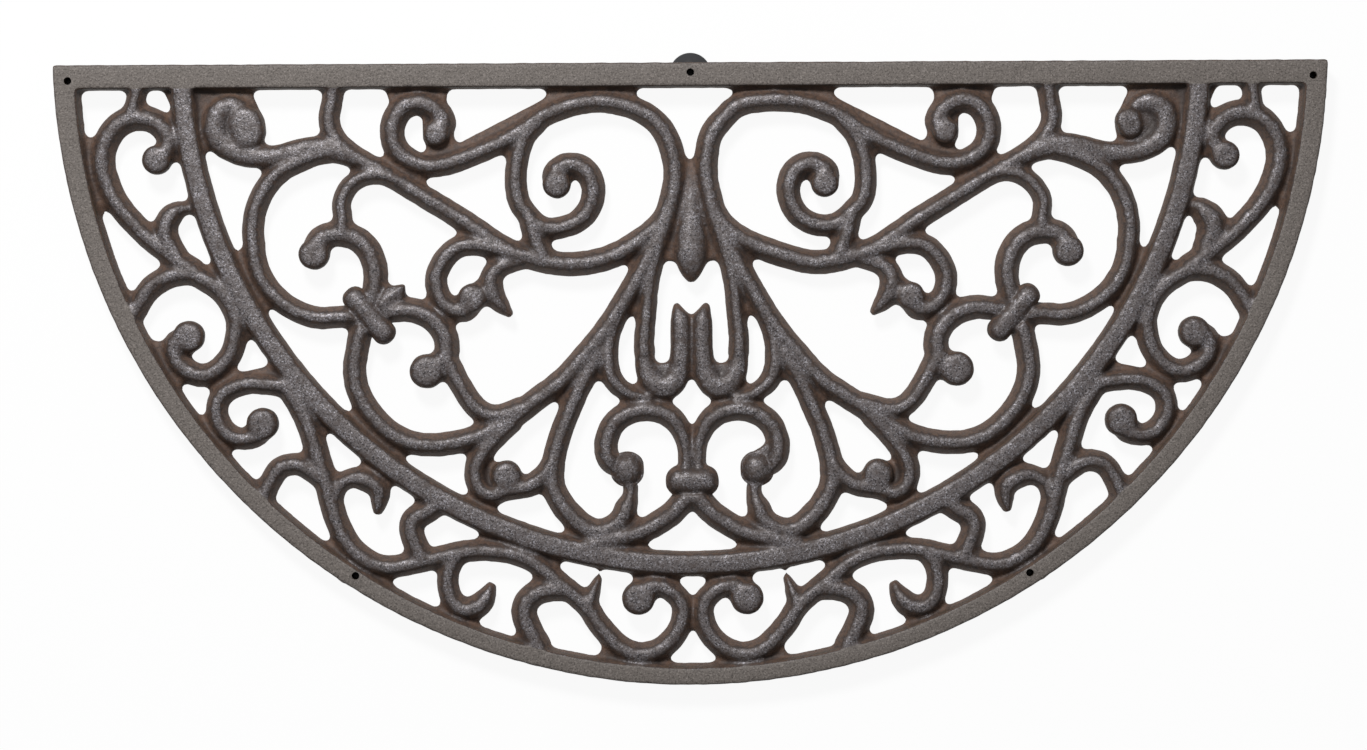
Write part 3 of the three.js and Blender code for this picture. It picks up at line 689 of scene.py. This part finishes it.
# the holes that the feet are pushed into
FEET = ("foot_back", "foot_back_left", "foot_back_right", "foot_front_left", "foot_front_right")
HOLE_RADIUS = 2.25 * MM
pins = []
for name in FEET:
    low_corner, high_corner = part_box(name)
    centre = (low_corner + high_corner) / 2
    bpy.ops.mesh.primitive_cylinder_add(
        vertices=32, radius=HOLE_RADIUS, depth=3 * THICKNESS, location=(centre.x, centre.y, CROWN))
    pins.append(bpy.context.object)
cut_away(mat, join(pins))

# nothing stands out past the solid that it replaces
for vertex in mat.data.vertices:
    for axis in range(3):
        vertex.co[axis] = min(max(vertex.co[axis], casting_low[axis]), casting_high[axis])

bpy.ops.object.select_all(action="DESELECT")
bpy.context.view_layer.objects.active = mat
mat.select_set(True)
bpy.ops.object.shade_smooth_by_angle(angle=math.radians(60))
mat.select_set(False)
bpy.data.objects.remove(bar_section)
bpy.data.objects.remove(full_section)
bpy.data.objects.remove(rib_section)

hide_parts("casting")
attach(mat, "root")


# Iron's finish: dark brown patina on flanks and webs with painted shade on the steep walls, a
# darker line at the shoulders, dull blue grey where the crowns are rubbed, with painted sheen and
# glints on them, painted shade in the creases, a matt taupe band and sand grain all over.

CREASE_ROUNDS = 6


def measure_creases(piece):
    """Stores on each vertex how hollow the skin is there: above 0 in a crease, below on an edge."""
    mesh = piece.data
    count = len(mesh.vertices)
    places = np.empty(3 * count)
    mesh.vertices.foreach_get("co", places)
    places = places.reshape(-1, 3)
    normals = np.array([vertex.normal for vertex in mesh.vertices])
    ends = np.empty(2 * len(mesh.edges), dtype=int)
    mesh.edges.foreach_get("vertices", ends)
    first, second = ends.reshape(-1, 2).T
    shares = np.bincount(ends, minlength=count)
    smooth = places
    for _ in range(CREASE_ROUNDS):
        total = np.zeros_like(smooth)
        np.add.at(total, first, smooth[second])
        np.add.at(total, second, smooth[first])
        smooth = total / shares[:, None]
    hollow = ((smooth - places) * normals).sum(axis=1) / MM
    mesh.attributes.new("crease", "FLOAT", "POINT").data.foreach_set("value", hollow)


measure_creases(mat)


def node_group(name, inputs, outputs):
    group = bpy.data.node_groups.new(name, "ShaderNodeTree")
    for socket, kind, value in inputs:
        made = group.interface.new_socket(socket, in_out="INPUT", socket_type=kind)
        made.default_value = value
    for socket, kind in outputs:
        group.interface.new_socket(socket, in_out="OUTPUT", socket_type=kind)
    return group, group.nodes.new("NodeGroupInput"), group.nodes.new("NodeGroupOutput")


class Wiring:
    """Adds nodes to one tree and links them. An input is named, or numbered as i0, i1 or i2."""

    def __init__(self, tree):
        self.tree = tree

    def node(self, kind, **inputs):
        made = self.tree.nodes.new(kind)
        for name, value in inputs.items():
            by_number = name[0] == "i" and name[1:].isdigit()
            key = int(name[1:]) if by_number else name.replace("_", " ")
            self.feed(made.inputs[key], value)
        return made

    def feed(self, socket, value):
        if isinstance(value, bpy.types.NodeSocket):
            self.tree.links.new(value, socket)
        else:
            socket.default_value = value

    def math(self, operation, *values, clamp=False):
        made = self.tree.nodes.new("ShaderNodeMath")
        made.operation = operation
        made.use_clamp = clamp
        for i, value in enumerate(values):
            self.feed(made.inputs[i], value)
        return made.outputs[0]

    def ramp(self, value, low, high, to_low=0.0, to_high=1.0):
        made = self.tree.nodes.new("ShaderNodeMapRange")
        made.interpolation_type = "SMOOTHSTEP"
        for name, number in (("Value", value), ("From Min", low), ("From Max", high),
                             ("To Min", to_low), ("To Max", to_high)):
            self.feed(made.inputs[name], number)
        return made.outputs[0]

    def mix(self, share, a, b):
        made = self.tree.nodes.new("ShaderNodeMix")
        made.data_type = "RGBA"
        self.feed(made.inputs[0], share)
        self.feed(made.inputs[6], a)
        self.feed(made.inputs[7], b)
        return made.outputs[2]

    def noise(self, scale, detail=2.0, roughness=0.5, vector=None):
        made = self.tree.nodes.new("ShaderNodeTexNoise")
        made.inputs["Scale"].default_value = scale
        made.inputs["Detail"].default_value = detail
        made.inputs["Roughness"].default_value = roughness
        if vector is not None:
            self.feed(made.inputs["Vector"], vector)
        return made.outputs["Fac"]


def srgb(r, g, b):
    """A colour as a screen shows it, out of 255, in the renderer's own scale."""
    linear = [(c / 255 / 12.92) if c <= 10 else ((c / 255 + 0.055) / 1.055) ** 2.4
              for c in (r, g, b)]
    return (*linear, 1)


grain_group, grain_in, grain_out = node_group(
    "sand_grain",
    [("Grain Size", "NodeSocketFloat", 1.0), ("Pits", "NodeSocketFloat", 0.3)],
    [("Height", "NodeSocketFloat"), ("Speckle", "NodeSocketFloat"),
     ("Dark Specks", "NodeSocketFloat"), ("Streaks", "NodeSocketFloat"),
     ("Mottle", "NodeSocketFloat")])
g = Wiring(grain_group)
place = g.node("ShaderNodeTexCoord").outputs["Object"]
sized = g.node("ShaderNodeVectorMath", i0=place)
sized.operation = "SCALE"
g.feed(sized.inputs["Scale"], grain_in.outputs["Grain Size"])
fine = g.noise(1100, 2, 0.6, sized.outputs[0])
coarse = g.noise(420, 2, 0.5, sized.outputs[0])
flecks = g.noise(900, 2, 0.5, sized.outputs[0])
pit = g.tree.nodes.new("ShaderNodeTexVoronoi")
pit.inputs["Scale"].default_value = 160
g.feed(pit.inputs["Vector"], sized.outputs[0])
pits = g.ramp(pit.outputs["Distance"], 0.05, 0.16, 1.0, 0.0)
pits = g.math("MULTIPLY", pits, grain_in.outputs["Pits"])
height = g.math("ADD", g.math("MULTIPLY", fine, 0.6), g.math("MULTIPLY", coarse, 1.1))
height = g.math("SUBTRACT", height, pits)
g.feed(grain_out.inputs["Height"], height)
g.feed(grain_out.inputs["Speckle"], g.ramp(fine, 0.52, 0.66))
g.feed(grain_out.inputs["Dark Specks"], g.ramp(flecks, 0.48, 0.36))
g.feed(grain_out.inputs["Streaks"], g.noise(330, 3, 0.6, place))
g.feed(grain_out.inputs["Mottle"], g.noise(110, 4, 0.6, place))

iron = bpy.data.materials.new("cast_iron")
iron.use_nodes = True
w = Wiring(iron.node_tree)
shader = w.tree.nodes["Principled BSDF"]
place = w.node("ShaderNodeTexCoord")
axes = w.node("ShaderNodeSeparateXYZ", i0=place.outputs["Object"])
up = w.node("ShaderNodeSeparateXYZ", i0=place.outputs["Normal"]).outputs["Z"]
grain = w.tree.nodes.new("ShaderNodeGroup")
grain.node_tree = grain_group
speckle, mottle = grain.outputs["Speckle"], grain.outputs["Mottle"]
crease = w.tree.nodes.new("ShaderNodeAttribute")
crease.attribute_name = "crease"
hollow = crease.outputs["Fac"]

# the band is told from the scrollwork by its place
BAND_MARGIN = 0.3
beyond_y = w.math("GREATER_THAN", axes.outputs["Y"], EDGE_Y - (STRAIGHT_BAND + BAND_MARGIN) * MM)
to_centre = w.math("SUBTRACT", axes.outputs["Y"], EDGE_Y + OPENING_SETBACK * MM)
squares = w.math("ADD", w.math("POWER", axes.outputs["X"], 2), w.math("POWER", to_centre, 2))
beyond_rim = w.math("GREATER_THAN", w.math("SQRT", squares), (OPENING_RADIUS - BAND_MARGIN) * MM)
on_band = w.math("MULTIPLY", w.math("MAXIMUM", beyond_y, beyond_rim), w.ramp(up, 0.75, 0.95))

# from the foot of a wall, through flank and shoulder, to the crown: the steep walls are
# darkened as painted shade
SHADED_WALL = srgb(56, 49, 37)
FLANK = srgb(90, 70, 58)
SHOULDER = srgb(44, 36, 33)
CROWN_WEAR_AND_SHEEN = srgb(105, 99, 99)
RECESS = srgb(94, 72, 59)
CREASE_SHADE = srgb(46, 37, 34)
PAINTED_GLINT = srgb(190, 188, 196)
SPECK = srgb(36, 32, 33)
BAND = srgb(104, 97, 92)
BAND_LIGHT = srgb(130, 122, 117)
BAND_DARK = srgb(64, 58, 54)

patches = w.math("ADD", w.math("MULTIPLY", w.math("SUBTRACT", mottle, 0.5), 0.45),
                 w.math("MULTIPLY", w.math("SUBTRACT", grain.outputs["Streaks"], 0.5), 0.5))
uneven_up = w.math("ADD", up, patches)
# steep faces darken towards the wall colour, a painted shade; flatter flanks keep the brown patina
flank_colour = w.mix(w.ramp(uneven_up, 0.12, 0.5), SHADED_WALL, FLANK)
flank_colour = w.mix(w.math("MULTIPLY", w.ramp(uneven_up, 0.46, 0.75), 0.7), flank_colour, SHOULDER)
tall = w.ramp(axes.outputs["Z"], FLOOR_OF_IRON + 5 * MM, FLOOR_OF_IRON + 8.5 * MM)
# the crowns: patina worn off, and lighter and greyer where they face up, which is a painted sheen
crown = w.math("MULTIPLY", tall, w.ramp(uneven_up, 0.73, 1.06))
low_iron = w.mix(tall, RECESS, flank_colour)
stain = w.math("MULTIPLY", w.ramp(grain.outputs["Streaks"], 0.42, 0.62), 0.45)
low_iron = w.mix(stain, low_iron, SPECK)
low_iron = w.mix(w.math("MULTIPLY", speckle, 0.25), low_iron, CROWN_WEAR_AND_SHEEN)
# bright specks on the crowns: painted glints of the lamp
crown_wear_and_sheen_colour = w.mix(w.math("MULTIPLY", speckle, w.ramp(mottle, 0.36, 0.64, 0.2, 0.7)), CROWN_WEAR_AND_SHEEN, PAINTED_GLINT)
crown_wear_and_sheen_colour = w.mix(w.math("MULTIPLY", grain.outputs["Dark Specks"], 0.8), crown_wear_and_sheen_colour, SPECK)
scroll_colour = w.mix(crown, low_iron, crown_wear_and_sheen_colour)
# darker the more hollow the skin: painted shade in the creases
scroll_colour = w.mix(w.math("MULTIPLY", w.ramp(hollow, 0.15, 0.9), 0.85), scroll_colour, CREASE_SHADE)
band_colour = w.mix(speckle, BAND, BAND_LIGHT)
band_colour = w.mix(w.math("MULTIPLY", grain.outputs["Dark Specks"], 0.7), band_colour, BAND_DARK)
w.feed(shader.inputs["Base Color"], w.mix(on_band, scroll_colour, band_colour))

# only the rubbed crowns shine
RUBBED_METALLIC = 0.3
ROUGHNESS = 0.66
SMOOTHED_BY = 0.22
GRAIN_DEPTH = 0.28 * MM
shine = w.math("MULTIPLY", crown, w.math("SUBTRACT", 1.0, on_band))
w.feed(shader.inputs["Metallic"], w.math("MULTIPLY", shine, RUBBED_METALLIC))
w.feed(shader.inputs["Roughness"],
       w.math("SUBTRACT", ROUGHNESS, w.math("MULTIPLY", shine, SMOOTHED_BY)))
bump = w.node("ShaderNodeBump", Height=grain.outputs["Height"])
bump.inputs["Strength"].default_value = 1
bump.inputs["Distance"].default_value = GRAIN_DEPTH
w.feed(shader.inputs["Normal"], bump.outputs["Normal"])
mat.data.materials.clear()
mat.data.materials.append(iron)


# Feet
# Five black rubber feet: a round pad with soft edges under each hole of the band, and a stem
# pushed up into the hole, which ends well below the face of the iron. The middle pad is cut flat
# under the band, so that nothing of it shows inside.

rubber = bpy.data.materials.new("foot_rubber")
rubber.use_nodes = True
w = Wiring(rubber.node_tree)
shader = w.tree.nodes["Principled BSDF"]
dust = w.noise(120, 4, 0.6, w.node("ShaderNodeTexCoord").outputs["Object"])
RUBBER = srgb(34, 34, 37)
DUSTY = srgb(62, 60, 60)
w.feed(shader.inputs["Base Color"], w.mix(w.ramp(dust, 0.45, 0.7), RUBBER, DUSTY))
shader.inputs["Roughness"].default_value = 0.7
bump = w.node("ShaderNodeBump", Height=w.noise(1500, 2, 0.5))
bump.inputs["Strength"].default_value = 0.25
bump.inputs["Distance"].default_value = 0.1 * MM
w.feed(shader.inputs["Normal"], bump.outputs["Normal"])

PAD_THICKNESS = 7.5 * MM
STEM_RADIUS = 1.95 * MM
STEM_LENGTH = 5 * MM
BACK_PAD_CUT = 12.6 * MM
SOFT_EDGE = 1.2 * MM
for name in FEET:
    low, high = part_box(name)
    centre = (low + high) / 2
    to_rim = RIM_RADIUS * MM - math.hypot(centre.x, centre.y - EDGE_Y - RIM_SETBACK * MM)
    radius = (high.x - low.x) / 2
    if "front" in name:
        # these two end at the rim, past which nothing of them shows
        radius = min(radius, to_rim)
    bpy.ops.mesh.primitive_cylinder_add(
        vertices=64, radius=radius, depth=PAD_THICKNESS,
        location=(centre.x, centre.y, low.z + PAD_THICKNESS / 2))
    foot = bpy.context.object
    foot.name = foot.data.name = "rubber_" + name
    bpy.ops.object.transform_apply(location=True, rotation=True, scale=True)
    bpy.ops.object.mode_set(mode="EDIT")
    bpy.ops.mesh.select_mode(type="FACE")
    bpy.ops.mesh.select_all(action="DESELECT")
    bpy.ops.object.mode_set(mode="OBJECT")
    for face in foot.data.polygons:
        face.select = face.normal.z > 0.9
    bpy.ops.object.mode_set(mode="EDIT")
    bpy.ops.mesh.inset(thickness=radius - STEM_RADIUS)
    bpy.ops.mesh.extrude_region_move(TRANSFORM_OT_translate={"value": (0, 0, STEM_LENGTH)})
    bpy.ops.object.mode_set(mode="OBJECT")
    if name == "foot_back":
        for vertex in foot.data.vertices:
            vertex.co.y = max(vertex.co.y, EDGE_Y - BACK_PAD_CUT)
    soft = foot.modifiers.new("soft_edge", "BEVEL")
    soft.width = SOFT_EDGE
    soft.segments = 4
    soft.limit_method = "ANGLE"
    apply_modifiers(foot)
    foot.data.materials.append(rubber)
    foot.select_set(True)
    bpy.context.view_layer.objects.active = foot
    bpy.ops.object.shade_smooth_by_angle(angle=math.radians(40))
    foot.select_set(False)
    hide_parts(name)
    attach(foot, "root")


# Floor and light
# A plain white floor that keeps a pale shadow of the mat, a broad lamp from the top left of the
# picture and the white room round it.

FLOOR_SIZE = 6
PAPER_SHARE = 0.93
ROOM_LIGHT = 0.2
LAMP_SIZE = 0.5
LAMP_POWER = 50
LAMP_PLACE = (-0.5, 1.3, 1.8)

bpy.ops.mesh.primitive_plane_add(size=FLOOR_SIZE, location=(0, 0, 0))
ground = bpy.context.object
ground.name = "floor"
white = bpy.data.materials.new("floor_white")
white.use_nodes = True
w = Wiring(white.node_tree)
tree = white.node_tree
shader = tree.nodes["Principled BSDF"]
shader.inputs["Base Color"].default_value = (0.9, 0.9, 0.9, 1)
shader.inputs["Roughness"].default_value = 0.9
paper = w.node("ShaderNodeEmission", Color=(1, 1, 1, 1), Strength=1.0)
rays = w.tree.nodes.new("ShaderNodeLightPath")
seen = w.math("MAXIMUM", rays.outputs["Is Camera Ray"], rays.outputs["Is Glossy Ray"])
seen = w.math("MAXIMUM", seen, rays.outputs["Is Transmission Ray"])
blend = w.node("ShaderNodeMixShader", i0=w.math("MULTIPLY", seen, PAPER_SHARE),
               i1=shader.outputs[0], i2=paper.outputs[0])
w.feed(tree.nodes["Material Output"].inputs["Surface"], blend.outputs[0])
ground.data.materials.append(white)
ground.select_set(False)

world = bpy.data.worlds.new("room")
bpy.context.scene.world = world
world.use_nodes = True
room = world.node_tree.nodes["Background"]
room.inputs["Color"].default_value = (1, 1, 1, 1)
room.inputs["Strength"].default_value = ROOM_LIGHT

lamp_data = bpy.data.lights.new("window", "AREA")
lamp_data.shape = "DISK"
lamp_data.size = LAMP_SIZE
lamp_data.energy = LAMP_POWER
lamp = bpy.data.objects.new("window", lamp_data)
lamp.location = LAMP_PLACE
lamp.rotation_euler = (-lamp.location).to_track_quat("-Z", "Y").to_euler()
bpy.context.scene.collection.objects.link(lamp)

bpy.context.scene.view_settings.view_transform = "Standard"
